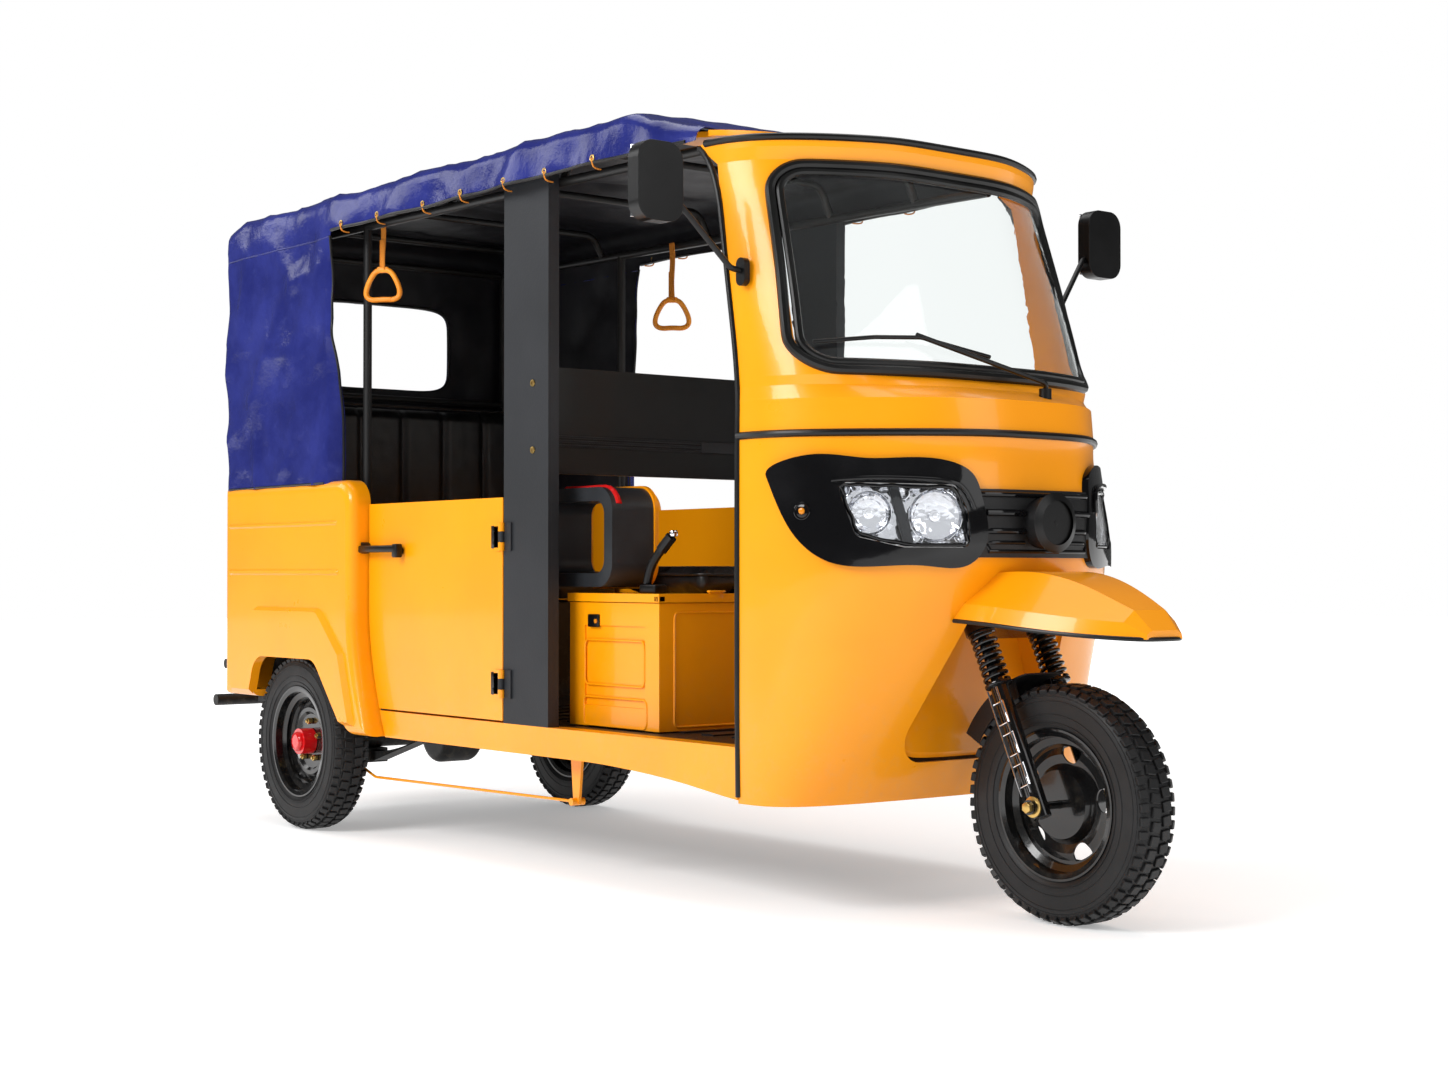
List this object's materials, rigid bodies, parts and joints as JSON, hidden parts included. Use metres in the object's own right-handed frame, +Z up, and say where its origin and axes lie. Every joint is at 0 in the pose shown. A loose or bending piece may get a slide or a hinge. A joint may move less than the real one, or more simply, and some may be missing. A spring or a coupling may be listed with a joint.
{
  "type": "three wheeled passenger auto rickshaw",
  "caption": "Three wheeled passenger rickshaw with a steel cab nose, open sides, half doors, tarpaulin roof and a single steered front wheel on a telescopic fork",
  "frame": {"origin": "on the ground, in the middle of the length and width of the vehicle", "axes": "+X is forward, +Y is the vehicle's left, +Z is up"},
  "size_m": [3.6279, 1.628, 1.968],
  "materials": {
    "body_paint": "gloss golden yellow enamel",
    "chassis_paint": "black chassis paint",
    "wheel_paint": "gloss black enamel",
    "pillar_paint": "satin charcoal powder coat",
    "hub_cap_paint": "gloss red enamel",
    "cast_metal": "painted casting",
    "black_gloss": "moulded gloss black",
    "black_matte": "moulded grain black",
    "grey_plastic": "moulded grey",
    "tyre": "tread rubber",
    "reflector": "vacuum metallised",
    "lens": "clear moulding",
    "screen_glass": "laminated screen glass",
    "lamp_red": "red lens",
    "canopy_cloth": "coated tarpaulin",
    "seat_vinyl": "black vinyl",
    "strap_web": "orange webbing"
  },
  "bodies": {
    "chassis": {"arm_rest_rims": "body_paint", "arm_rests": "grey_plastic", "b_pillars": "pillar_paint", "brake_linkage": "body_paint", "canopy": "canopy_cloth", "dashboard": "black_matte", "driver_cushion": "seat_vinyl", "engine_block": "cast_metal", "floor_pan": "chassis_paint", "frame_rails": "chassis_paint", "front_grille": "black_gloss", "front_peak": "body_paint", "front_wheel_well": "body_paint", "grab_straps": "strap_web", "headlamp_bezels": "black_gloss", "headlamp_lenses": "lens", "headlamp_reflectors": "reflector", "leaf_springs": "chassis_paint", "mirrors": "black_matte", "nose_shell": "body_paint", "partition_board": "black_matte", "propeller_shaft": "chassis_paint", "rear_axle": "cast_metal", "rear_backrest": "seat_vinyl", "rear_bench_base": "body_paint", "rear_bumper": "chassis_paint", "rear_cushion": "seat_vinyl", "rear_panel": "body_paint", "rear_quarter_left": "body_paint", "rear_quarter_right": "body_paint", "roof_frame": "chassis_paint", "seat_box": "body_paint", "seat_box_lid": "body_paint", "side_sills": "body_paint", "tail_lamps": "lamp_red", "wheelhouses": "body_paint", "windscreen_frame": "body_paint", "windscreen_glass": "screen_glass", "wiper": "black_matte"},
    "steering": {"fork_legs": "chassis_paint", "fork_springs": "chassis_paint", "steering_yoke": "chassis_paint", "handlebar": "chassis_paint", "inner_mudguard": "black_matte"},
    "front_wheel": {"front_tyre": "tyre", "front_rim": "wheel_paint"},
    "rear_wheel_right": {"rear_tyre_right": "tyre", "rear_rim_right": "wheel_paint", "hub_cap_right": "hub_cap_paint"},
    "rear_wheel_left": {"rear_tyre_left": "tyre", "rear_rim_left": "wheel_paint", "hub_cap_left": "hub_cap_paint"},
    "door_right": {"door_right": "body_paint"},
    "door_left": {"door_left": "body_paint"}
  },
  "joints": [
    {"name": "steering_turn", "type": "hinge", "parent": "chassis", "child": "steering", "pos_m": [1.27833, 0, 0.78003], "axis": [-0.4226, 0, 0.9063], "range_deg": [-35, 35]},
    {"name": "front_wheel_spin", "type": "hinge", "parent": "steering", "child": "front_wheel", "pos_m": [1.515, 0, 0.2725], "axis": [0, 1, 0], "continuous": true},
    {"name": "rear_wheel_right_spin", "type": "hinge", "parent": "chassis", "child": "rear_wheel_right", "pos_m": [-1.183, -0.508, 0.2725], "axis": [0, 1, 0], "continuous": true},
    {"name": "rear_wheel_left_spin", "type": "hinge", "parent": "chassis", "child": "rear_wheel_left", "pos_m": [-1.183, 0.508, 0.2725], "axis": [0, 1, 0], "continuous": true},
    {"name": "door_right_swing", "type": "hinge", "parent": "chassis", "child": "door_right", "pos_m": [-0.048, -0.531, 0.696], "axis": [0, 0, 1], "range_deg": [0, 88]},
    {"name": "door_left_swing", "type": "hinge", "parent": "chassis", "child": "door_left", "pos_m": [-0.048, 0.531, 0.696], "axis": [0, 0, -1], "range_deg": [0, 88]}
  ]
}
